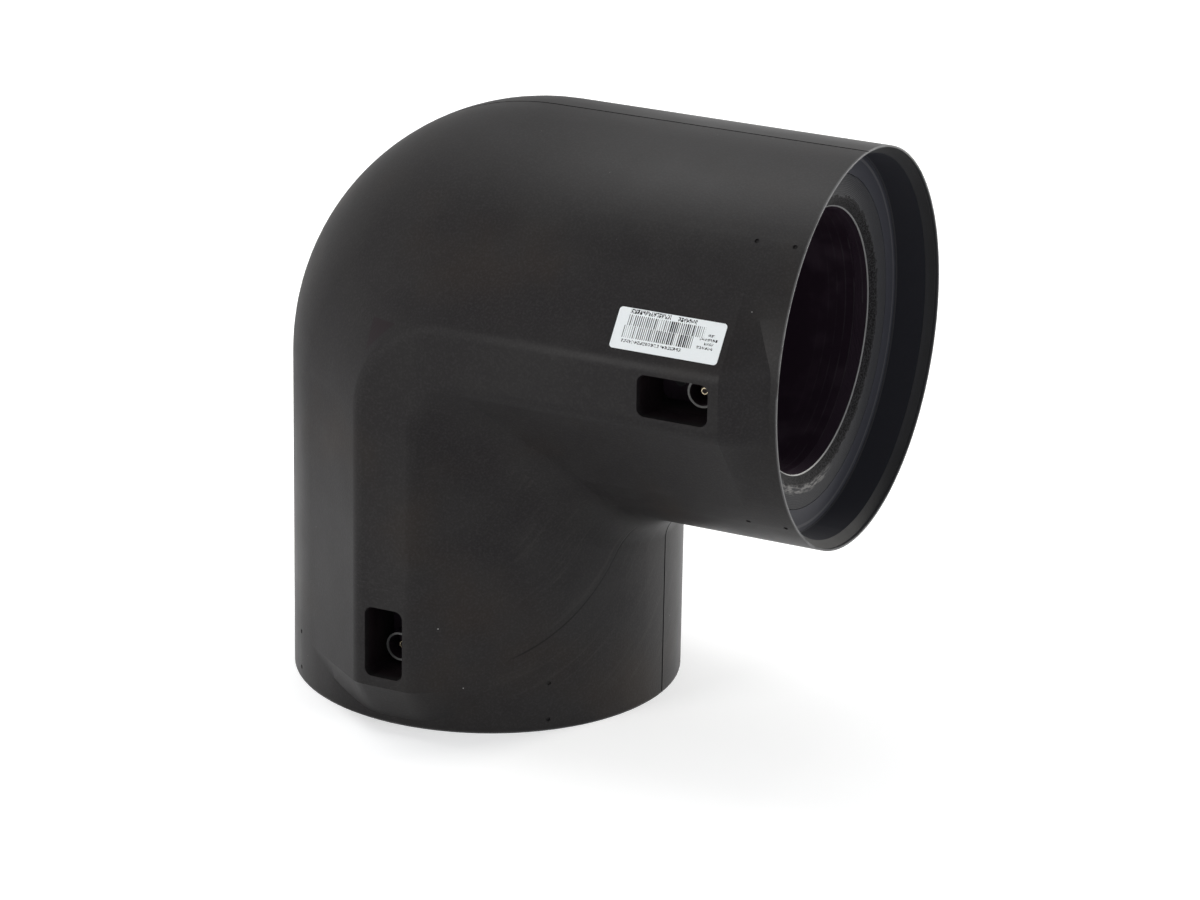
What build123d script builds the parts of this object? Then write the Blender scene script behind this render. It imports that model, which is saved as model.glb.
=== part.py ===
"""Pre-insulated electrofusion elbow, ninety degrees, for a 110 mm pipe in a 160 mm jacket.

A thick polyethylene elbow with a heated socket at each end sits in foam inside a hard jacket, which is
welded together from a front and a rear half. A flat pad is raised along the front of the jacket. It
follows the bend, runs out in a ramp near each rim, and has a well for the terminal of each socket.

The origin is the middle of the lower rim. +Z runs up the lower leg, the upper leg points along +X, and
the pad faces -Y. What lies on the lower leg has its mirror image on the upper leg.
"""
from build123d import *
import os
from math import acos, asin, atan2, cos, pi, sin, tan

# Sizes in millimetres. The elbow as a whole
leg_length = 170.0  # crossing of the two leg axes to either rim
bend_radius = 29.0  # centre line of the bend

# Hard jacket
jacket_wall = 3.4
crotch_radius = 16.0  # round between the legs, at the seam
seam_width = 0.8  # shallow groove along the weld of the two halves
seam_depth = 0.4
dimple_diameter = 2.0  # small marks left by the mould's pins
dimple_depth = 0.6
dimple_from_rim = (5.0, 21.5)
dimple_angles = (45.0, 135.0, 225.0, 315.0)

# Raised pad along the front
pad_height = 11.0  # above the round jacket, along its middle
pad_width = 26.0  # between its folds
pad_fold_radius = 10.0
pad_corner_radius = 24.0  # inner corner, and the round between the legs beside the pad
ramp_length = 20.5  # rim to the pad's end
ramp_foot = 3.0  # rim to the foot of the ramp

# Recess in each mouth, where the jacket of the pipe goes in
pipe_insulation = 25.0  # thickness of the pipe's own foam and jacket
skirt_clearance = 0.4  # on the diameter, for the pipe's jacket
mouth_widening = 6.0  # on the diameter, from the skirt to the land at the rim
mouth_depth = 1.5
lip_thickness = 0.8  # at the rim
skirt_from_rim = 4.7  # where the taper from the mouth ends
recess_depth = 18.5
flange_thickness = 3.0  # inward flange at the bottom of the recess
flange_clearance = 0.3  # round the socket

# Window in the pad and the walled well below it
window_length = 31.0
window_width = 17.6
window_from_rim = 24.9
window_corner = 3.5
well_wall = 3.4
well_clearance = 0.3  # foot of the well to the socket

# Electrofusion elbow
pipe_diameter = 110.0
pipe_clearance = 1.6  # on the diameter, for the pipe that goes in
socket_wall = 14.0
insertion_depth = 72.0
socket_chamfer = 3.6
socket_chamfer_depth = 2.4
stop_height = 8.8  # step from the socket's bore to the waterway

# Heating wire, terminals and fusion indicators
coil_thickness = 1.2
coil_length = 50.0
coil_depth = 8.0  # socket's end to the first turn
link_diameter = 1.6
link_lap = 6.0  # length over which the link lies on a coil
link_flat = 0.4  # taken off the link where it lies on a coil
terminal_from_rim = 34.0
terminal_diameter = 4.0
terminal_shank_diameter = 5.0  # where it is moulded into the socket
terminal_height = 8.2  # above the socket
terminal_tip_chamfer = 0.6
shroud_diameter = 12.6
shroud_bore = 10.8
shroud_height = 10.8  # above the socket
shroud_floor = 1.0  # height of its floor above the socket
indicator_from_rim = 48.0
indicator_diameter = 5.0
indicator_depth = 7.0
indicator_proud = 0.8

# Label on the upper side of the pad
label_length = 47.0
label_height = 17.5
label_corner = 1.5
label_thickness = 0.2
label_from_rim = 46.4  # to its middle
label_from_fold = 13.6  # to its middle, up the side of the pad

# Derived
pipe_jacket_diameter = pipe_diameter + 2 * pipe_insulation
skirt_bore = pipe_jacket_diameter + skirt_clearance
mouth_bore = skirt_bore + mouth_widening
jacket_radius = mouth_bore / 2 + lip_thickness
pad_reach = jacket_radius + pad_height
socket_bore_radius = (pipe_diameter + pipe_clearance) / 2
socket_radius = socket_bore_radius + socket_wall
socket_from_rim = recess_depth  # its end is flush with the flange
terminal_reach = socket_radius + terminal_height
shroud_reach = socket_radius + shroud_height
waterway_radius = socket_bore_radius - stop_height
coil_radius = socket_bore_radius + coil_thickness
coil_from_rim = socket_from_rim + coil_depth
cavity_from_rim = recess_depth + flange_thickness
bend_start = leg_length - bend_radius
pad_half = pad_width / 2
# Each side of the pad lies flat on the round jacket. This is the angle, round the leg's axis from the
# middle of the pad, at which the two meet.
side_angle = atan2(pad_half, pad_reach) + acos(jacket_radius / (pad_reach**2 + pad_half**2) ** 0.5)
overall = leg_length + 2 * pad_reach  # larger than the part any way
dip = 0.08  # how far a piece that is added goes into the surface that it meets, for a clean cut


def on_upper_leg(shape):
    """Mirror a shape from the lower leg to the upper leg."""
    return mirror(shape, about=Plane(origin=(0, 0, leg_length), z_dir=(1, 0, 1)))


def both_legs(shape):
    """A shape on the lower leg together with its mirror image on the upper leg."""
    return shape + on_upper_leg(shape)


def elbow_solid(section, gap):
    """Run a section along both legs and round the bend, with its ends a gap short of the rims."""
    leg = extrude(Pos(0, 0, gap) * section, bend_start - gap, dir=(0, 0, 1))
    outer_side = section & Pos(bend_radius - overall / 2, 0) * Rectangle(overall, overall)
    bend = revolve(Pos(0, 0, bend_start) * outer_side, Axis((bend_radius, 0, bend_start), (0, 1, 0)), 90)
    return both_legs(leg) + bend


def pipe_hole(radius, depth):
    """Straight hole up the lower leg from the rim, and its mirror image."""
    return both_legs(extrude(Circle(radius), depth))


def front_stub(sketch, from_rim, start, end):
    """Run a sketch on the front of the lower leg outwards, from one distance from the axis to another.

    The sketch's X is across the leg and its Y along it.
    """
    plane = Plane(origin=(0, -start, from_rim), x_dir=(1, 0, 0), z_dir=(0, -1, 0))
    return extrude(plane * sketch, end - start)


def polar_point(radius, angle):
    """Point of the lower leg's section at a radius and an angle from the middle of the pad."""
    return (radius * sin(angle), -radius * cos(angle))


def pad_half_at(inset):
    """Half the width of the pad's face, with every face of the jacket moved in by an inset."""
    return (jacket_radius - inset - (pad_reach - inset) * cos(side_angle)) / sin(side_angle)


def fold_rounded(outline, radius):
    """Face inside an outline, with its two foremost corners rounded."""
    return fillet(make_face(outline).vertices().sort_by(Axis.Y)[:2], radius)


def pad_section(inset):
    """Section of the pad down to the leg's axis, every face moved in by an inset."""
    half = pad_half_at(inset)
    reach = pad_reach - inset
    meet = polar_point(jacket_radius - inset, side_angle)
    outline = Polyline((-half, -reach), (half, -reach), meet, (0, 0), (-meet[0], meet[1]), close=True)
    return fold_rounded(outline, pad_fold_radius - inset)


def ramp_foot_section(inset):
    """Section at the ramp's foot, just inside the round jacket: an arc in front, with a flat on each side.

    Its folds turn less than those of the pad, and are as long.
    """
    radius = jacket_radius - inset - dip
    corner_angle = asin(pad_half_at(inset) / radius)
    corner = polar_point(radius, corner_angle)
    fold_length = (pad_fold_radius - inset) * tan(side_angle / 2)
    fold_radius = fold_length / tan((side_angle - corner_angle) / 4)
    meet = polar_point(radius, side_angle)
    front = ThreePointArc((-corner[0], corner[1]), (0, -radius), corner)
    sides = Polyline(corner, meet, (0, 0), (-meet[0], meet[1]), (-corner[0], corner[1]))
    return fold_rounded(front + sides, fold_radius)


def crotch_profile(x, y, radius):
    """Section of the crotch filler at depth y, where the legs are 2x wide: a corner with a hollow side."""
    body = 1.0  # how far it reaches into the legs
    wall_x = x - dip
    wall_z = leg_length - x + dip
    centre_x = wall_x + radius
    centre_z = wall_z - radius
    straight = Polyline(
        (centre_x, wall_z),
        (centre_x, wall_z + body),
        (wall_x - body, wall_z + body),
        (wall_x - body, centre_z),
        (wall_x, centre_z),
    )
    middle = (centre_x - radius * cos(pi / 4), centre_z + radius * sin(pi / 4))
    hollow = ThreePointArc((wall_x, centre_z), middle, (centre_x, wall_z))
    plane = Plane(origin=(0, y, 0), x_dir=(1, 0, 0), z_dir=(0, -1, 0))
    return plane * make_face(straight + hollow)


def crotch_filler(inset):
    """Material that rounds the inner corner between the legs.

    It follows the pad's fold, the flat side of the pad, and then the round jacket, where it tightens
    towards the seam, as far as the place behind where it fades into the bend.
    """
    radius = jacket_radius - inset
    wide_round = pad_corner_radius + inset
    tight_round = crotch_radius + inset
    fold_radius = pad_fold_radius - inset
    fold_x = pad_half_at(inset) - fold_radius * tan(side_angle / 2)
    fold_y = -(pad_reach - inset) + fold_radius
    fold_part = []
    fold_steps = 3
    for i in range(fold_steps + 1):
        x, y = polar_point(fold_radius, side_angle * i / fold_steps)
        fold_part.append(crotch_profile(fold_x + x, fold_y + y, wide_round))
    end_angle = pi - asin((bend_radius - crotch_radius) / radius)
    round_part = []
    round_steps = 12
    for i in range(round_steps + 1):
        angle = side_angle + (end_angle - side_angle) * i / round_steps
        share = min((angle - side_angle) / (pi / 2 - side_angle), 1)
        ball = wide_round + (tight_round - wide_round) * share**2 * (3 - 2 * share)
        x, y = polar_point(radius, angle)
        round_part.append(crotch_profile(x, y, ball))
    return loft(fold_part) + loft([fold_part[-1], round_part[0]], ruled=True) + loft(round_part)


def jacket_section(inset):
    """Round section of the jacket with the pad on its front, every face moved in by an inset."""
    return Circle(jacket_radius - inset) + pad_section(inset)


def jacket_outside(inset):
    """Outer form of the jacket, every face moved in by an inset."""
    rim = extrude(Circle(jacket_radius - inset), ramp_length)
    foot = Pos(0, 0, ramp_foot) * ramp_foot_section(inset)
    ramp = loft([foot, Pos(0, 0, ramp_length) * pad_section(inset)], ruled=True)
    return elbow_solid(jacket_section(inset), ramp_length) + both_legs(rim + ramp) + crotch_filler(inset)


def jacket_cavity():
    """Room inside the jacket, between the two flanges."""
    return elbow_solid(jacket_section(jacket_wall), cavity_from_rim)


def well_block(margin):
    """Rounded block from each window in to the leg's axis, a margin larger than the window all round."""
    outline = RectangleRounded(window_width + 2 * margin, window_length + 2 * margin, window_corner + margin)
    return both_legs(front_stub(outline, window_from_rim + window_length / 2, 0, pad_reach - jacket_wall / 2))


def jacket_dimples():
    """Small round marks of the mould's pins near both rims."""
    marks = Part()
    for distance in dimple_from_rim:
        for angle in dimple_angles:
            mark = front_stub(Circle(dimple_diameter / 2), distance, jacket_radius - dimple_depth, pad_reach)
            marks += mark.rotate(Axis.Z, angle)
    return both_legs(marks)


def tapered_hole(start, end, start_radius, end_radius):
    """Round hole up the lower leg that narrows between two distances from the rim."""
    return Pos(0, 0, (start + end) / 2) * Cone(start_radius, end_radius, end - start)


def jacket_recess():
    """Stepped recess in each mouth: a wider land, a short taper, the skirt and the hole in the flange."""
    taper = tapered_hole(mouth_depth, skirt_from_rim, mouth_bore / 2, skirt_bore / 2)
    recess = pipe_hole(mouth_bore / 2, mouth_depth) + both_legs(taper)
    recess += pipe_hole(skirt_bore / 2, recess_depth)
    return recess + pipe_hole(socket_radius + flange_clearance, cavity_from_rim)


def jacket_shell():
    """Both halves of the jacket in one, with recesses, flanges, wells and windows."""
    shell = jacket_outside(0) - jacket_cavity() - jacket_recess()
    shell += well_block(well_wall) - elbow_solid(Circle(socket_radius + well_clearance), 0)
    window = RectangleRounded(window_width, window_length, window_corner)
    shell -= both_legs(front_stub(window, window_from_rim + window_length / 2, 0, pad_reach + 1))
    seam = Pos(0, 0, leg_length) * Box(2 * overall, seam_width, 2 * overall) - jacket_outside(seam_depth)
    return shell - seam - jacket_dimples()


def half_space(side):
    """Everything in front of (side -1) or behind (side 1) the seam."""
    return Pos(0, side * overall / 2, leg_length) * Box(2 * overall, overall, 2 * overall)


def insulation_foam():
    """Foam that fills the jacket round the elbow, up to the wells."""
    return jacket_cavity() - elbow_solid(Circle(socket_radius), 0) - well_block(well_wall)


def link_path():
    """Centre line of the wire that joins the two coils, in the wall at the front of the bend."""
    depth = -(coil_radius + link_diameter / 2 - link_flat)
    first = (0, depth, coil_from_rim + coil_length - link_lap)
    last = (leg_length - first[2], depth, leg_length)
    return FilletPolyline(first, (0, depth, leg_length), last, radius=bend_radius)


def coil_link_wire():
    """Wire from one coil to the other, with a flat where it lies on each."""
    path = link_path()
    wire = sweep(Plane(origin=path @ 0, z_dir=path % 0) * Circle(link_diameter / 2), path)
    return wire - both_legs(extrude(Circle(coil_radius), coil_from_rim + coil_length))


def heating_coil():
    """Wound wire of the lower socket as one closed band, flush with the bore."""
    band = Circle(coil_radius) - Circle(socket_bore_radius)
    return extrude(Pos(0, 0, coil_from_rim) * band, coil_length)


def terminal_pin():
    """Contact pin of the lower socket, from the coil out to the well."""
    shank_radius = terminal_shank_diameter / 2
    shank = front_stub(Circle(shank_radius), terminal_from_rim, 0, socket_radius + shroud_floor)
    pin = shank + front_stub(Circle(terminal_diameter / 2), terminal_from_rim, 0, terminal_reach)
    tip = pin.edges().filter_by(GeomType.CIRCLE).sort_by(Axis.Y)[0]
    return chamfer(tip, terminal_tip_chamfer) - extrude(Circle(coil_radius), leg_length)


def fusion_indicator():
    """Plug of the lower socket that rises when the joint has fused."""
    return front_stub(
        Circle(indicator_diameter / 2),
        indicator_from_rim,
        socket_radius - indicator_depth,
        socket_radius + indicator_proud,
    )


def electrofusion_elbow():
    """Inner elbow: a socket with a stop at each end, a smooth waterway and a shroud on each terminal."""
    shroud = front_stub(
        Circle(shroud_diameter / 2), terminal_from_rim, socket_radius - socket_wall / 2, shroud_reach
    )
    hollow = front_stub(
        Circle(shroud_bore / 2), terminal_from_rim, socket_radius + shroud_floor, shroud_reach
    )
    elbow = elbow_solid(Circle(socket_radius), socket_from_rim) + both_legs(shroud)
    elbow -= elbow_solid(Circle(waterway_radius), 0)
    elbow -= pipe_hole(socket_bore_radius, socket_from_rim + insertion_depth)
    mouth = tapered_hole(
        socket_from_rim,
        socket_from_rim + socket_chamfer_depth,
        socket_bore_radius + socket_chamfer,
        socket_bore_radius,
    )
    elbow -= both_legs(mouth + hollow + heating_coil() + terminal_pin() + fusion_indicator())
    return elbow - coil_link_wire()


def barcode_label():
    """Paper label on the upper side of the pad, near the upper rim."""
    up_side = Vector(0, sin(side_angle), cos(side_angle))
    outwards = Vector(0, -cos(side_angle), sin(side_angle))
    fold = Vector(0, -pad_reach, pad_half)
    middle = Vector(leg_length - label_from_rim, 0, leg_length) + fold + up_side * label_from_fold
    plane = Plane(origin=middle, x_dir=(1, 0, 0), z_dir=outwards)
    return extrude(plane * RectangleRounded(label_length, label_height, label_corner), label_thickness)


shell = jacket_shell()
lower_coil = heating_coil()
lower_pin = terminal_pin()
lower_indicator = fusion_indicator()
pieces = {
    "front_jacket_half": shell & half_space(-1),
    "rear_jacket_half": shell & half_space(1),
    "insulation_foam": insulation_foam(),
    "electrofusion_elbow": electrofusion_elbow(),
    "lower_heating_coil": lower_coil,
    "upper_heating_coil": on_upper_leg(lower_coil),
    "coil_link_wire": coil_link_wire(),
    "lower_terminal_pin": lower_pin,
    "upper_terminal_pin": on_upper_leg(lower_pin),
    "lower_fusion_indicator": lower_indicator,
    "upper_fusion_indicator": on_upper_leg(lower_indicator),
    "barcode_label": barcode_label(),
}

os.makedirs("parts", exist_ok=True)
for name, piece in pieces.items():
    export_step(piece, f"parts/{name}.step")
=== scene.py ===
import math

import bpy
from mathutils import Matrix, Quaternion, Vector


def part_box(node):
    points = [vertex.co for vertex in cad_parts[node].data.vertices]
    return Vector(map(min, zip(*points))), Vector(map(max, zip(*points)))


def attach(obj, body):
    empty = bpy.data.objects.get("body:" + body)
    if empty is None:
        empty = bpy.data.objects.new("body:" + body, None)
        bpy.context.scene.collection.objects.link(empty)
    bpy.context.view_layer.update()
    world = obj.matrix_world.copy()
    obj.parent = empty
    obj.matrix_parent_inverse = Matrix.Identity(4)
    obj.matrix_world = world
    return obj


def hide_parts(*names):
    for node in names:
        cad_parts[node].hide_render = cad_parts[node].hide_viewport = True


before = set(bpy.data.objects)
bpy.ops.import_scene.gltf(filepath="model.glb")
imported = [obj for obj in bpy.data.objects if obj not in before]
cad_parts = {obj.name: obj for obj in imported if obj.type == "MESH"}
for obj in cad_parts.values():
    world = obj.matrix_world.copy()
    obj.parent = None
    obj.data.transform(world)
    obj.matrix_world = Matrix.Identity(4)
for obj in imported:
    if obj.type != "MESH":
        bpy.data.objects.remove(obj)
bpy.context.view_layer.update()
leg_length = 0.170  # crossing of the two leg axes to either rim
jacket_radius = 0.084
recess_depth = 0.0185  # rim to the flange and to the end of the socket
terminal_from_rim = 0.034
wire_pitch = 0.0039
first_turn_from_rim = 0.0250

# Inner elbow: a thick black polyethylene moulding with a heated socket at each end. The sockets are
# turned on a lathe after moulding, which leaves fine rings in the bore and a rough grey end face.


def add_node(tree, kind, feeds, **settings):
    """Add a shader node with its settings, each input fed by a value or by another node's output."""
    node = tree.nodes.new("ShaderNode" + kind)
    for name, value in settings.items():
        setattr(node, name, value)
    for key, feed in feeds.items():
        if isinstance(feed, bpy.types.NodeSocket):
            tree.links.new(feed, node.inputs[key])
        else:
            node.inputs[key].default_value = feed
    return node


def calc(tree, operation, *terms):
    """Result of one step of arithmetic on values or sockets."""
    return add_node(tree, "Math", dict(enumerate(terms)), operation=operation).outputs[0]


def product(tree, first, *others):
    """Product of several values or sockets."""
    for other in others:
        first = calc(tree, "MULTIPLY", first, other)
    return first


def off_by(tree, value, centre):
    """How far a value is from a centre, on either side."""
    return calc(tree, "ABSOLUTE", calc(tree, "SUBTRACT", value, centre))


def diagonal(tree, first, second):
    """Length of the diagonal over two sides at a right angle."""
    squares = [calc(tree, "POWER", side, 2.0) for side in (first, second)]
    return calc(tree, "SQRT", calc(tree, "ADD", *squares))


def ease(tree, value, start, end):
    """0 before the start, 1 past the end, and a soft step between them."""
    feeds = {"Value": value, "From Min": start, "From Max": end}
    return add_node(tree, "MapRange", feeds, interpolation_type="SMOOTHSTEP").outputs["Result"]


def noise(tree, place, scale, detail=3.0):
    """Cloudy pattern with so many clouds to the metre."""
    return add_node(tree, "TexNoise", {"Vector": place, "Scale": scale, "Detail": detail}).outputs[0]


def tint(tree, share, first, second):
    """Colour that goes from the first to the second as the share goes from 0 to 1."""
    mix = tree.nodes.new("ShaderNodeMix")
    mix.data_type = "RGBA"
    for socket, feed in zip((mix.inputs[0], mix.inputs[6], mix.inputs[7]), (share, first, second)):
        if isinstance(feed, bpy.types.NodeSocket):
            tree.links.new(feed, socket)
        elif socket.type == "RGBA":
            socket.default_value = (*feed, 1.0)
        else:
            socket.default_value = feed
    return mix.outputs[2]


def effect_group(name, inputs, outputs):
    """Empty node group with named inputs and number outputs."""
    group = bpy.data.node_groups.new(name, "ShaderNodeTree")
    for label, kind, default in inputs:
        socket = group.interface.new_socket(name=label, in_out="INPUT", socket_type="NodeSocket" + kind)
        if default is not None:
            socket.default_value = default
    for label in outputs:
        group.interface.new_socket(name=label, in_out="OUTPUT", socket_type="NodeSocketFloat")
    return group, group.nodes.new("NodeGroupInput"), group.nodes.new("NodeGroupOutput")


def use_group(tree, group, feeds):
    """Place a node group in a material, fed with values or sockets."""
    node = tree.nodes.new("ShaderNodeGroup")
    node.node_tree = group
    for key, feed in feeds.items():
        if isinstance(feed, bpy.types.NodeSocket):
            tree.links.new(feed, node.inputs[key])
        else:
            node.inputs[key].default_value = feed
    return node


# Where a point lies on its leg: how far it is from the rim and from the leg's axis, and how far round
# the jacket it is from the middle of the pad. The upper leg is the mirror image of the lower one.
place_on_leg, given, result = effect_group(
    "place_on_leg", [("Vector", "Vector", None)], ["From Rim", "Radius", "Round", "Upper"]
)
parts_of = add_node(place_on_leg, "SeparateXYZ", {0: given.outputs["Vector"]})
side, depth, height = parts_of.outputs
upper = calc(place_on_leg, "GREATER_THAN", calc(place_on_leg, "ADD", side, height), leg_length)
lower = calc(place_on_leg, "SUBTRACT", 1.0, upper)
rim_lower = calc(place_on_leg, "MULTIPLY", height, lower)
rim_upper = calc(place_on_leg, "MULTIPLY", calc(place_on_leg, "SUBTRACT", leg_length, side), upper)
across_lower = calc(place_on_leg, "MULTIPLY", side, lower)
across_upper = calc(place_on_leg, "MULTIPLY", calc(place_on_leg, "SUBTRACT", leg_length, height), upper)
across = calc(place_on_leg, "ADD", across_lower, across_upper)
turn = calc(place_on_leg, "ARCTAN2", across, calc(place_on_leg, "MULTIPLY", depth, -1.0))
for label, socket in (
    ("From Rim", calc(place_on_leg, "ADD", rim_lower, rim_upper)),
    ("Radius", diagonal(place_on_leg, across, depth)),
    ("Round", calc(place_on_leg, "MULTIPLY", turn, jacket_radius)),
    ("Upper", upper),
):
    place_on_leg.links.new(socket, result.inputs[label])

# Rings that a lathe leaves: round the axis on an end face, and along it in a bore.
lathe_rings, given, result = effect_group(
    "lathe_rings", [("Vector", "Vector", None), ("Pitch", "Float", 0.0006)], ["Height"]
)
spot = use_group(lathe_rings, place_on_leg, {"Vector": given.outputs["Vector"]})
travel = calc(lathe_rings, "ADD", spot.outputs["From Rim"], spot.outputs["Radius"])
wander = calc(lathe_rings, "MULTIPLY", noise(lathe_rings, given.outputs["Vector"], 90.0), 0.0006)
turns = calc(lathe_rings, "DIVIDE", calc(lathe_rings, "ADD", travel, wander), given.outputs["Pitch"])
wave = calc(lathe_rings, "SINE", calc(lathe_rings, "MULTIPLY", turns, 2 * math.pi))
lathe_rings.links.new(calc(lathe_rings, "MULTIPLY_ADD", wave, 0.5, 0.5), result.inputs["Height"])

# Turns of the heating wire below the wall of a bore: thin broken lines that climb by one pitch in each
# turn and fade farther in, as the light does. The materials paint the lines pale, a painted sheen.
wound_turns, given, result = effect_group("wound_turns", [("Vector", "Vector", None)], ["Line"])
spot = use_group(wound_turns, place_on_leg, {"Vector": given.outputs["Vector"]})
climb = calc(wound_turns, "MULTIPLY", spot.outputs["Round"], wire_pitch / (2 * math.pi * jacket_radius))
past_first = calc(wound_turns, "SUBTRACT", spot.outputs["From Rim"], first_turn_from_rim)
travel = calc(wound_turns, "SUBTRACT", past_first, climb)
phase = calc(wound_turns, "PINGPONG", travel, wire_pitch / 2)
in_bore = product(
    wound_turns,
    calc(wound_turns, "LESS_THAN", spot.outputs["Radius"], 0.0562),
    ease(wound_turns, travel, -0.0004, 0.0),
    ease(wound_turns, spot.outputs["From Rim"], 0.0500, 0.0230),
)
broken = ease(wound_turns, noise(wound_turns, given.outputs["Vector"], 120.0), 0.3, 0.6)
line = product(wound_turns, ease(wound_turns, phase, 0.00045, 0.00005), in_bore, broken)
wound_turns.links.new(line, result.inputs["Line"])

# Fine scratches: long thin lines in three directions, broken into patches.
fine_scratches, given, result = effect_group(
    "fine_scratches",
    [("Vector", "Vector", None), ("Scale", "Float", 30.0), ("Amount", "Float", 0.5)],
    ["Mask"],
)
scratched = 0.0
for number, angles in enumerate(((0.3, 0.9, 0.2), (1.1, 0.2, 1.4), (2.0, 0.7, 0.6))):
    stretch = {"Vector": given.outputs["Vector"], "Rotation": angles, "Scale": (1.0, 16.0, 16.0)}
    turned = add_node(fine_scratches, "Mapping", stretch).outputs[0]
    cloud = noise(fine_scratches, turned, given.outputs["Scale"], 1.0)
    line = ease(fine_scratches, off_by(fine_scratches, cloud, 0.5), 0.007, 0.0)
    shift = {"Vector": given.outputs["Vector"], "Location": (number, 2.0 * number, 0.0)}
    shifted = add_node(fine_scratches, "Mapping", shift).outputs[0]
    patch = ease(fine_scratches, noise(fine_scratches, shifted, given.outputs["Scale"], 2.0), 0.58, 0.75)
    scratched = calc(fine_scratches, "MAXIMUM", calc(fine_scratches, "MULTIPLY", line, patch), scratched)
scratched = calc(fine_scratches, "MULTIPLY", scratched, given.outputs["Amount"])
fine_scratches.links.new(scratched, result.inputs["Mask"])


def new_material(name, **shader_values):
    """Material with its node tree, its shader and the place on the piece that its patterns read."""
    material = bpy.data.materials.new(name)
    material.use_nodes = True
    tree = material.node_tree
    shader = tree.nodes["Principled BSDF"]
    for socket, value in shader_values.items():
        shader.inputs[socket.replace("_", " ")].default_value = value
    place = add_node(tree, "TexCoord", {}).outputs["Object"]
    return material, tree, shader, place


def raise_surface(tree, shader, height, strength, distance):
    """Feed a height to the shader as bump."""
    feeds = {"Height": height, "Strength": strength, "Distance": distance}
    tree.links.new(add_node(tree, "Bump", feeds).outputs[0], shader.inputs["Normal"])


def softened_copy(node, name, edge):
    """Copy of a frame node with its triangles merged, its sharp edges rounded and its faces smooth."""
    piece = bpy.data.objects.new(name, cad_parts[node].data.copy())
    bpy.context.scene.collection.objects.link(piece)
    bpy.ops.object.select_all(action="DESELECT")
    piece.select_set(True)
    bpy.context.view_layer.objects.active = piece
    bpy.ops.object.mode_set(mode="EDIT")
    bpy.ops.mesh.select_all(action="SELECT")
    bpy.ops.mesh.remove_doubles(threshold=0.000005)
    bpy.ops.mesh.dissolve_limited(angle_limit=math.radians(0.5))
    bpy.ops.object.mode_set(mode="OBJECT")
    rounding = piece.modifiers.new("rounding", "BEVEL")
    rounding.width = edge
    rounding.segments = 2
    rounding.limit_method = "ANGLE"
    rounding.angle_limit = math.radians(18)
    rounding.use_clamp_overlap = True
    bpy.ops.object.modifier_apply(modifier=rounding.name)
    bpy.ops.object.shade_smooth_by_angle(angle=math.radians(35))
    evening = piece.modifiers.new("evening", "WEIGHTED_NORMAL")
    evening.keep_sharp = True
    bpy.ops.object.modifier_apply(modifier=evening.name)
    piece.data.materials.clear()
    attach(piece, "root")
    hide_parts(node)
    return piece


black_polyethylene, tree, shader, place = new_material("black_polyethylene", Specular_IOR_Level=0.14)
spot = use_group(tree, place_on_leg, {"Vector": place})
from_rim, radius, round_leg = [spot.outputs[label] for label in ("From Rim", "Radius", "Round")]
rings = use_group(tree, lathe_rings, {"Vector": place, "Pitch": 0.0007}).outputs["Height"]
scuffs = use_group(tree, fine_scratches, {"Vector": place, "Scale": 60.0, "Amount": 0.5}).outputs["Mask"]
cloud = noise(tree, place, 35.0)
speckle = noise(tree, place, 700.0)
skin = tint(tree, cloud, (0.0185, 0.0115, 0.0180), (0.0310, 0.0215, 0.0310))
at_end = calc(tree, "COMPARE", from_rim, recess_depth, 0.0003)
on_face = calc(tree, "MULTIPLY", at_end, calc(tree, "GREATER_THAN", radius, 0.0580))
cut_face = tint(tree, speckle, (0.0080, 0.0080, 0.0095), (0.0190, 0.0190, 0.0210))
cut_face = tint(tree, calc(tree, "MULTIPLY", rings, 0.35), cut_face, (0.0330, 0.0330, 0.0360))
skin = tint(tree, on_face, skin, cut_face)
# Teeth that the cutter tore round the edge of the bore
tear = noise(tree, place, 420.0, 5.0)
tear_edge = calc(tree, "MULTIPLY_ADD", tear, 0.0060, 0.0575)
near_edge = calc(tree, "COMPARE", from_rim, 0.0192, 0.0014)
torn = calc(tree, "MULTIPLY", calc(tree, "LESS_THAN", radius, tear_edge), near_edge)
pits = ease(tree, noise(tree, place, 1300.0, 2.0), 0.35, 0.65)
skin = tint(tree, torn, skin, tint(tree, pits, (0.0020, 0.0018, 0.0020), (0.0160, 0.0155, 0.0165)))
# Rough pale patch where the face was trimmed by hand
off_patch = off_by(tree, round_leg, 0.1160)
smear = {0: calc(tree, "MULTIPLY", round_leg, 130.0), 1: calc(tree, "MULTIPLY", radius, 900.0)}
crumbs = noise(tree, add_node(tree, "CombineXYZ", smear).outputs[0], 1.0, 6.0)
pale = product(
    tree,
    ease(tree, off_patch, 0.0440, 0.0200),
    ease(tree, crumbs, 0.40, 0.60),
    spot.outputs["Upper"],
    on_face,
    ease(tree, off_by(tree, radius, 0.0618), 0.0028, 0.0006),
)
skin = tint(tree, calc(tree, "MULTIPLY", pale, 0.6), skin, (0.17, 0.165, 0.16))
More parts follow.
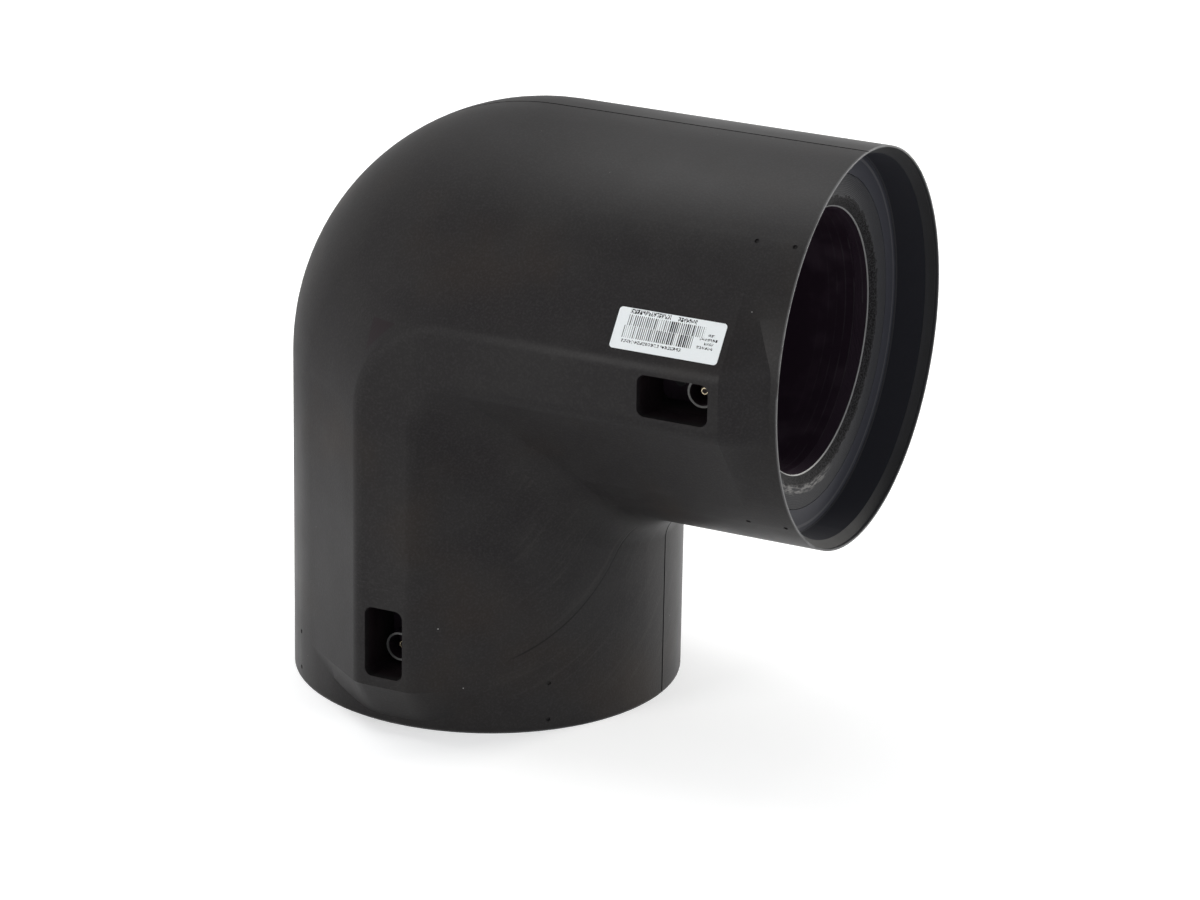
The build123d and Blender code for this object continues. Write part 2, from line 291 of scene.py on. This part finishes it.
# Painted highlights on the edge of the bore and on the top of each shroud, and a painted sheen on the turns
# of the wire behind the bore's wall
at_bore = calc(tree, "COMPARE", radius, 0.0560, 0.0003)
painted_bore_highlight = calc(tree, "MULTIPLY", at_bore, calc(tree, "COMPARE", from_rim, 0.0208, 0.0003))
turns = use_group(tree, wound_turns, {"Vector": place}).outputs["Line"]
painted_shroud_highlight = calc(tree, "GREATER_THAN", radius, 0.0801)
skin = tint(tree, calc(tree, "MULTIPLY", turns, 0.5), skin, (0.055, 0.052, 0.057))
skin = tint(tree, calc(tree, "MAXIMUM", painted_bore_highlight, painted_shroud_highlight), skin, (0.12, 0.12, 0.12))
skin = tint(tree, calc(tree, "MULTIPLY", scuffs, 0.3), skin, (0.06, 0.06, 0.06))
tree.links.new(skin, shader.inputs["Base Color"])
gloss = calc(tree, "MULTIPLY_ADD", cloud, 0.18, 0.36)
dull = calc(tree, "MAXIMUM", calc(tree, "MULTIPLY", on_face, 0.75), calc(tree, "MULTIPLY", torn, 0.95))
tree.links.new(calc(tree, "MAXIMUM", gloss, dull), shader.inputs["Roughness"])
grain = calc(tree, "MULTIPLY_ADD", noise(tree, place, 900.0), 0.4, calc(tree, "MULTIPLY", rings, 0.6))
grain = calc(tree, "ADD", grain, calc(tree, "MULTIPLY", calc(tree, "SUBTRACT", pale, torn), 1.5))
grain = calc(tree, "MULTIPLY_ADD", turns, 0.4, grain)
raise_surface(tree, shader, grain, 0.35, 0.0002)
inner_elbow = softened_copy("electrofusion_elbow", "inner_elbow", 0.0003)
inner_elbow.data.materials.append(black_polyethylene)

# Heating wire: a resistance wire wound into the bore of each socket and ironed over with polyethylene,
# so that its turns show as low ridges. The frame has one closed band for each winding, and the material
# draws the turns on it as ridges with a painted pale sheen that fades farther in.


def dress(node, material):
    """Give a node of the frame this material in place of its own."""
    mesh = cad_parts[node].data
    mesh.materials.clear()
    mesh.materials.append(material)


coated_wire, tree, shader, place = new_material("coated_wire", Specular_IOR_Level=0.14)
turns = use_group(tree, wound_turns, {"Vector": place}).outputs["Line"]
worn = ease(tree, noise(tree, place, 60.0), 0.45, 0.75)
skin = tint(tree, worn, (0.0185, 0.0115, 0.0180), (0.0310, 0.0210, 0.0300))
# Painted sheen: the turns are drawn paler than the wire round them
skin = tint(tree, calc(tree, "MULTIPLY", turns, 0.5), skin, (0.055, 0.052, 0.057))
tree.links.new(skin, shader.inputs["Base Color"])
tree.links.new(calc(tree, "MULTIPLY_ADD", worn, 0.2, 0.32), shader.inputs["Roughness"])
ridge = calc(tree, "MULTIPLY_ADD", noise(tree, place, 1500.0), 0.3, calc(tree, "MULTIPLY", turns, 0.4))
raise_surface(tree, shader, ridge, 0.35, 0.0002)
for node in ("lower_heating_coil", "upper_heating_coil"):
    dress(node, coated_wire)

# Link wire: the same resistance wire, run inside the wall from one winding to the other.
dress("coil_link_wire", coated_wire)

# Terminal pins: turned brass, one for each winding, standing in the wells below the windows.
turned_brass, tree, shader, place = new_material("turned_brass", Metallic=1.0)
spot = use_group(tree, place_on_leg, {"Vector": place})
smudge = noise(tree, place, 400.0)
metal = tint(tree, smudge, (0.36, 0.30, 0.20), (0.58, 0.50, 0.36))
along_leg = calc(tree, "SUBTRACT", spot.outputs["From Rim"], terminal_from_rim)
from_axis = diagonal(tree, along_leg, spot.outputs["Round"])
# The middle of each pin's flat end is painted dark, a painted reflection of the dark well
at_tip = calc(tree, "GREATER_THAN", spot.outputs["Radius"], 0.0778)
painted_tip_reflection = calc(tree, "MULTIPLY", calc(tree, "LESS_THAN", from_axis, 0.0011), at_tip)
tree.links.new(tint(tree, painted_tip_reflection, metal, (0.012, 0.010, 0.010)), shader.inputs["Base Color"])
tree.links.new(calc(tree, "MULTIPLY_ADD", smudge, 0.2, 0.18), shader.inputs["Roughness"])
raise_surface(tree, shader, noise(tree, place, 2500.0), 0.1, 0.0001)
for node in ("lower_terminal_pin", "upper_terminal_pin"):
    dress(node, turned_brass)

# Fusion indicators: small polyethylene plugs beside the pins, which rise when a joint has fused.
indicator_plug, tree, shader, place = new_material("indicator_plug", Specular_IOR_Level=0.2)
speckle = noise(tree, place, 900.0)
tree.links.new(tint(tree, speckle, (0.015, 0.015, 0.017), (0.035, 0.035, 0.038)), shader.inputs["Base Color"])
tree.links.new(calc(tree, "MULTIPLY_ADD", speckle, 0.2, 0.35), shader.inputs["Roughness"])
raise_surface(tree, shader, speckle, 0.2, 0.0002)
for node in ("lower_fusion_indicator", "upper_fusion_indicator"):
    dress(node, indicator_plug)

# Insulation: rigid foam, poured between the elbow and the jacket, where it sets as closed cells.
rigid_foam, tree, shader, place = new_material("rigid_foam", Specular_IOR_Level=0.1)
cells = add_node(tree, "TexVoronoi", {"Vector": place, "Scale": 1400.0}).outputs["Distance"]
tree.links.new(tint(tree, cells, (0.74, 0.66, 0.40), (0.56, 0.47, 0.25)), shader.inputs["Base Color"])
tree.links.new(calc(tree, "MULTIPLY_ADD", cells, 0.1, 0.85), shader.inputs["Roughness"])
raise_surface(tree, shader, cells, 0.5, 0.0004)
dress("insulation_foam", rigid_foam)

# Jacket: two moulded halves of hard charcoal polyethylene, welded together along the middle. Handling
# has left fine scratches, a few pale specks and a long curved scuff on the lower leg. Rims: painted
# highlight.

# Scratch along an arc of the unrolled jacket, and faint rub marks round the same centre.
arc_scratch, given, result = effect_group(
    "arc_scratch",
    [("Round", "Float", 0.0), ("From Rim", "Float", 0.0), ("Centre Round", "Float", 0.0),
     ("Centre From Rim", "Float", 0.0), ("Bend Radius", "Float", 0.1), ("Width", "Float", 0.0003)],
    ["Mask", "Rub Marks"],
)
off_round = calc(arc_scratch, "SUBTRACT", given.outputs["Round"], given.outputs["Centre Round"])
off_rim = calc(arc_scratch, "SUBTRACT", given.outputs["From Rim"], given.outputs["Centre From Rim"])
distance = diagonal(arc_scratch, off_round, off_rim)
miss = off_by(arc_scratch, distance, given.outputs["Bend Radius"])
arc_scratch.links.new(ease(arc_scratch, miss, given.outputs["Width"], 0.0), result.inputs["Mask"])
swing = calc(arc_scratch, "MULTIPLY", calc(arc_scratch, "ARCTAN2", off_rim, off_round), 2.0)
across_streaks = calc(arc_scratch, "MULTIPLY", distance, 420.0)
streak = add_node(arc_scratch, "CombineXYZ", {0: across_streaks, 1: swing}).outputs[0]
rubbed = ease(arc_scratch, noise(arc_scratch, streak, 1.0), 0.52, 0.72)
arc_scratch.links.new(rubbed, result.inputs["Rub Marks"])

charcoal_plastic, tree, shader, place = new_material("charcoal_plastic", Specular_IOR_Level=0.125)
spot = use_group(tree, place_on_leg, {"Vector": place})
from_rim, radius, round_leg = [spot.outputs[label] for label in ("From Rim", "Radius", "Round")]
broad = noise(tree, place, 9.0, 2.0)
cloudy = noise(tree, place, 55.0, 4.0)
fine = noise(tree, place, 1100.0, 2.0)
mottle = ease(tree, calc(tree, "MULTIPLY_ADD", cloudy, 0.35, calc(tree, "MULTIPLY", broad, 0.65)), 0.35, 0.65)
skin = tint(tree, mottle, (0.0084, 0.0074, 0.0080), (0.0142, 0.0133, 0.0133))
brown = calc(tree, "MULTIPLY", ease(tree, noise(tree, place, 16.0, 3.0), 0.52, 0.75), 0.5)
skin = tint(tree, brown, skin, (0.0190, 0.0135, 0.0100))
skin = tint(tree, calc(tree, "MULTIPLY", ease(tree, fine, 0.40, 0.75), 0.20), skin, (0.0380, 0.0365, 0.0365))
scuffs = use_group(tree, fine_scratches, {"Vector": place, "Scale": 24.0, "Amount": 0.5}).outputs["Mask"]
skin = tint(tree, calc(tree, "MULTIPLY", scuffs, 0.30), skin, (0.070, 0.068, 0.066))
# Recess in each mouth: painted pale bluish light where the pipe goes, two pale rings by the flange, a land
# at the rim painted dark as shade, and a painted highlight along the rim's inner edge
near_mouth = calc(tree, "LESS_THAN", from_rim, 0.0600)
inside = calc(tree, "MULTIPLY", ease(tree, radius, 0.0838, 0.0834), near_mouth)
outside = calc(tree, "SUBTRACT", 1.0, inside)
within_skirt = calc(tree, "LESS_THAN", radius, 0.0812)
# Painted light: the recess wall is drawn paler and bluer than the jacket outside
painted_skirt_light = calc(tree, "MULTIPLY", within_skirt, calc(tree, "LESS_THAN", from_rim, 0.0216))
skin = tint(tree, calc(tree, "MULTIPLY", painted_skirt_light, 0.8), skin, (0.0230, 0.0235, 0.0300))
ring_line = 0.0
for ring_radius, half_width, ring_depth in ((0.0778, 0.0006, recess_depth), (0.0802, 0.0004, 0.0180)):
    line = calc(tree, "COMPARE", radius, ring_radius, half_width)
    line = calc(tree, "MULTIPLY", line, calc(tree, "COMPARE", from_rim, ring_depth, 0.0004))
    ring_line = calc(tree, "MAXIMUM", line, ring_line)
skin = tint(tree, calc(tree, "MULTIPLY", ring_line, 0.4), skin, (0.080, 0.080, 0.083))
# Painted shade: the land inside the rim is drawn darker
painted_land_shade = calc(tree, "MULTIPLY", inside, ease(tree, from_rim, 0.0050, 0.0046))
skin = tint(tree, calc(tree, "MULTIPLY", painted_land_shade, 0.9), skin, (0.0045, 0.0045, 0.0052))
# Painted highlight along the inner edge of the rim
painted_edge_highlight = calc(tree, "MULTIPLY", inside, ease(tree, from_rim, 0.0018, 0.0013))
skin = tint(tree, calc(tree, "MULTIPLY", painted_edge_highlight, 0.8), skin, (0.032, 0.032, 0.034))
# Walls of the wells below the windows, painted darker as shade, and brownish
painted_well_shade = product(
    tree,
    calc(tree, "LESS_THAN", radius, 0.0918),
    calc(tree, "GREATER_THAN", from_rim, 0.0230),
    calc(tree, "LESS_THAN", calc(tree, "ABSOLUTE", round_leg), 0.0095),
)
skin = tint(tree, calc(tree, "MULTIPLY", painted_well_shade, 0.8), skin, (0.0100, 0.0060, 0.0078))
# Long curved scuff on the lower leg, among fainter rub marks round the same centre
scuff = use_group(
    tree,
    arc_scratch,
    {"Round": round_leg, "From Rim": from_rim, "Centre Round": 0.0078,
     "Centre From Rim": 0.1317, "Bend Radius": 0.1066, "Width": 0.00065},
)
on_lower = calc(tree, "MULTIPLY", calc(tree, "SUBTRACT", 1.0, spot.outputs["Upper"]), outside)
reach = calc(tree, "MULTIPLY", ease(tree, round_leg, 0.046, 0.056), ease(tree, round_leg, 0.112, 0.100))
long_scuff = product(tree, scuff.outputs["Mask"], reach, on_lower)
wide_reach = calc(tree, "MULTIPLY", ease(tree, round_leg, 0.028, 0.070), ease(tree, from_rim, 0.006, 0.020))
rub_marks = product(tree, scuff.outputs["Rub Marks"], wide_reach, on_lower)
skin = tint(tree, calc(tree, "MULTIPLY", rub_marks, 0.18), skin, (0.045, 0.042, 0.039))
skin = tint(tree, calc(tree, "MULTIPLY", long_scuff, 0.8), skin, (0.0020, 0.0018, 0.0018))
# Shadowed seam, chipped here and there
depth = add_node(tree, "SeparateXYZ", {0: place}).outputs[1]
chipped = calc(tree, "MULTIPLY", ease(tree, noise(tree, place, 160.0), 0.62, 0.68), 0.0009)
at_seam = calc(tree, "LESS_THAN", calc(tree, "ABSOLUTE", depth), calc(tree, "ADD", chipped, 0.0006))
skin = tint(tree, product(tree, at_seam, outside, 0.75), skin, (0.0012, 0.0010, 0.0010))
# Pale specks, and a painted highlight along the rim's edge, broken into patches
specks = add_node(tree, "TexVoronoi", {"Vector": place, "Scale": 80.0}).outputs["Distance"]
patches = ease(tree, noise(tree, place, 14.0), 0.44, 0.60)
specks = product(tree, ease(tree, specks, 0.028, 0.018), outside, patches)
skin = tint(tree, specks, skin, (0.22, 0.22, 0.215))
painted_rim_highlight = calc(tree, "MULTIPLY", ease(tree, from_rim, 0.0009, 0.0001), ease(tree, cloudy, 0.25, 0.5))
skin = tint(tree, calc(tree, "MULTIPLY", painted_rim_highlight, 0.7), skin, (0.11, 0.11, 0.112))
tree.links.new(skin, shader.inputs["Base Color"])
# Duller towards the bend, and inside the mouths
gloss = calc(tree, "MULTIPLY_ADD", cloudy, 0.14, 0.36)
gloss = calc(tree, "MULTIPLY_ADD", scuffs, 0.10, gloss)
duller_bend = calc(tree, "MULTIPLY_ADD", ease(tree, from_rim, 0.0700, 0.1500), 0.15, gloss)
tree.links.new(calc(tree, "MULTIPLY_ADD", inside, 0.25, duller_bend), shader.inputs["Roughness"])
grain = calc(tree, "MULTIPLY_ADD", fine, 0.5, calc(tree, "MULTIPLY", cloudy, 1.2))
grain = calc(tree, "SUBTRACT", grain, calc(tree, "MULTIPLY", scuffs, 0.3))
grain = calc(tree, "SUBTRACT", grain, calc(tree, "MULTIPLY", long_scuff, 1.0))
raise_surface(tree, shader, grain, 0.22, 0.0003)
for node, name in (("front_jacket_half", "front_jacket"), ("rear_jacket_half", "rear_jacket")):
    half = softened_copy(node, name, 0.0005)
    half.data.materials.append(charcoal_plastic)

# Label: white self-adhesive paper on the upper side of the pad, printed with two rows of plain bars, a
# line of dots above and below them and four short lines of dots at the right, none of which can be read.
printed_paper, tree, shader, place = new_material("printed_paper", Specular_IOR_Level=0.2)
low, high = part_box("barcode_label")
middle = (low + high) / 2
up = Vector((0.0, high.y - low.y, high.z - low.z)).normalized()
bar_pitch = 0.00088
cluster_pitch = 0.0027
dot_pitch = 0.00030
group_pitch = 0.0012
moved = add_node(tree, "VectorMath", {0: place, 1: middle}, operation="SUBTRACT").outputs[0]
along = add_node(tree, "SeparateXYZ", {0: moved}).outputs[0]
rise = add_node(tree, "VectorMath", {0: moved, 1: up}, operation="DOT_PRODUCT").outputs["Value"]


def within(ink, box):
    """The part of some ink that lies within a box of the label."""
    left, right, bottom, top = box
    for value, edge, operation in (
        (along, left, "GREATER_THAN"), (along, right, "LESS_THAN"),
        (rise, bottom, "GREATER_THAN"), (rise, top, "LESS_THAN"),
    ):
        ink = calc(tree, "MULTIPLY", ink, calc(tree, operation, value, edge))
    return ink


def chance_in(column, row, seed):
    """Chance value of a cell, the same over the whole cell."""
    corner = {0: calc(tree, "FLOOR", column), 1: calc(tree, "FLOOR", row), 2: seed}
    feeds = {"Vector": add_node(tree, "CombineXYZ", corner).outputs[0]}
    return add_node(tree, "TexWhiteNoise", feeds, noise_dimensions="3D").outputs["Value"]


def bar_row(box, seed):
    """Row of plain bars of uneven width, thicker in some clusters than in others."""
    column = calc(tree, "DIVIDE", along, bar_pitch)
    cluster = chance_in(calc(tree, "DIVIDE", along, cluster_pitch), 0.5, seed)
    least_width = calc(tree, "MULTIPLY_ADD", cluster, 0.45, 0.05)
    width = calc(tree, "MULTIPLY_ADD", chance_in(column, 0.5, seed), 0.35, least_width)
    return within(calc(tree, "LESS_THAN", calc(tree, "FRACT", column), width), box)


def dot_line(left, right, bottom, height, seed):
    """Line of small generic dot marks, broken into short groups."""
    column = calc(tree, "DIVIDE", along, dot_pitch)
    row = calc(tree, "DIVIDE", calc(tree, "SUBTRACT", rise, bottom), height / 4)
    dots = calc(tree, "LESS_THAN", chance_in(column, row, seed), 0.60)
    group = calc(tree, "LESS_THAN", calc(tree, "FRACT", calc(tree, "DIVIDE", along, group_pitch)), 0.82)
    return within(calc(tree, "MULTIPLY", dots, group), (left, right, bottom, bottom + height))


ink = bar_row((-0.0186, 0.0150, 0.0014, 0.0060), 0.5)
ink = calc(tree, "MAXIMUM", ink, bar_row((-0.0194, 0.0108, -0.0038, 0.0013), 7.5))
for left, right, bottom, height, seed in (
    (-0.0184, -0.0008, 0.0065, 0.0019, 11.5), (0.0022, 0.0106, 0.0064, 0.0018, 12.5),
    (-0.0190, 0.0070, -0.0058, 0.0013, 13.5), (0.0168, 0.0196, 0.0022, 0.0011, 14.5),
    (0.0136, 0.0212, 0.0004, 0.0011, 15.5), (0.0160, 0.0200, -0.0014, 0.0011, 16.5),
    (0.0130, 0.0200, -0.0032, 0.0011, 17.5),
):
    ink = calc(tree, "MAXIMUM", ink, dot_line(left, right, bottom, height, seed))
fibres = noise(tree, place, 1800.0)
paper = tint(tree, fibres, (0.71, 0.74, 0.75), (0.78, 0.81, 0.82))
tree.links.new(tint(tree, ink, paper, (0.010, 0.010, 0.012)), shader.inputs["Base Color"])
tree.links.new(calc(tree, "MULTIPLY_ADD", fibres, 0.15, 0.5), shader.inputs["Roughness"])
raise_surface(tree, shader, fibres, 0.1, 0.0001)
dress("barcode_label", printed_paper)

# Studio: a wide pale floor, an even white world and seven large soft lamps, three above and four low.
# The floor glows where it is seen, and more with distance, so that it meets the white without an edge.


def seen_share(tree):
    """1 for what is seen straight, in a reflection or through a clear piece, and 0 for other light."""
    light_path = add_node(tree, "LightPath", {})
    seen = calc(tree, "MAXIMUM", light_path.outputs["Is Camera Ray"], light_path.outputs["Is Glossy Ray"])
    return calc(tree, "MAXIMUM", seen, light_path.outputs["Is Transmission Ray"])


floor_paint, tree, shader, place = new_material("floor_paint", Roughness=0.9, Specular_IOR_Level=0.1)
shade = tint(tree, noise(tree, place, 3.0), (0.86, 0.86, 0.86), (0.88, 0.88, 0.88))
tree.links.new(shade, shader.inputs["Base Color"])
shader.inputs["Emission Color"].default_value = (1.0, 1.0, 1.0, 1.0)
reach = add_node(tree, "VectorMath", {0: place}, operation="LENGTH").outputs["Value"]
glow = calc(tree, "MULTIPLY_ADD", ease(tree, reach, 0.5, 2.5), 0.6, 0.4)
tree.links.new(calc(tree, "MULTIPLY", seen_share(tree), glow), shader.inputs["Emission Strength"])
bpy.ops.mesh.primitive_circle_add(vertices=96, radius=14.0, fill_type="NGON", location=(0.0, 0.0, 0.0))
floor = bpy.context.object
floor.name = "studio_floor"
floor.data.materials.append(floor_paint)

world = bpy.data.worlds.new("studio_world")
bpy.context.scene.world = world
world.use_nodes = True
tree = world.node_tree
sky = tree.nodes["Background"]
sky.inputs["Color"].default_value = (0.95, 0.97, 1.0, 1.0)
sky.inputs["Strength"].default_value = 0.30
white = add_node(tree, "Background", {"Color": (1.0, 1.0, 1.0, 1.0), "Strength": 1.0})
mixed = add_node(tree, "MixShader", {0: seen_share(tree), 1: sky.outputs[0], 2: white.outputs[0]})
tree.links.new(mixed.outputs[0], tree.nodes["World Output"].inputs["Surface"])

aim = Vector((0.052502, 0.0, 0.105088))  # point that the lamps and the camera face
for name, place, size, power, colour in (
    ("overhead_lamp", (-0.70, 0.19, 1.84), 1.0, 14.0, (1.0, 1.0, 1.0)),
    ("rear_overhead_lamp", (-0.25, 0.84, 1.78), 1.0, 6.0, (1.0, 1.0, 1.0)),
    ("front_overhead_lamp", (-0.52, -0.68, 1.78), 1.0, 1.5, (1.0, 1.0, 1.0)),
    ("front_lamp", (-0.89, -1.63, 0.39), 0.72, 17.0, (1.0, 0.99, 0.97)),
    ("front_right_lamp", (1.50, -1.05, 0.75), 0.9, 3.0, (0.97, 0.98, 1.0)),
    ("right_lamp", (1.93, 0.0, 0.39), 0.72, 15.0, (0.95, 0.97, 1.0)),
    ("rear_right_lamp", (0.99, 1.63, 0.39), 0.72, 32.0, (1.0, 0.98, 0.93)),
):
    bpy.ops.object.light_add(type="AREA", location=place)
    lamp = bpy.context.object
    lamp.name = name
    lamp.data.shape = "SQUARE"
    lamp.data.size = size
    lamp.data.energy = power
    lamp.data.color = colour
    lamp.rotation_euler = (aim - Vector(place)).to_track_quat("-Z", "Y").to_euler()

# Camera: at the photograph's angle and distance, tilted by about one degree as the photograph is.
azimuth = math.radians(25.8357)
elevation = math.radians(20.2004)
tilt = math.radians(1.0416)
camera_distance = 1.96896
back = Vector((
    math.sin(azimuth) * math.cos(elevation), -math.cos(azimuth) * math.cos(elevation), math.sin(elevation)
))
bpy.ops.object.camera_add(location=aim + back * camera_distance)
camera = bpy.context.object
camera.rotation_mode = "QUATERNION"
camera.rotation_quaternion = (-back).to_track_quat("-Z", "Y") @ Quaternion((0, 0, 1), tilt)
camera.data.sensor_width = 36.0
camera.data.lens = 139.39
camera.data.clip_end = 60.0
bpy.context.scene.camera = camera
bpy.context.scene.view_settings.view_transform = "Standard"
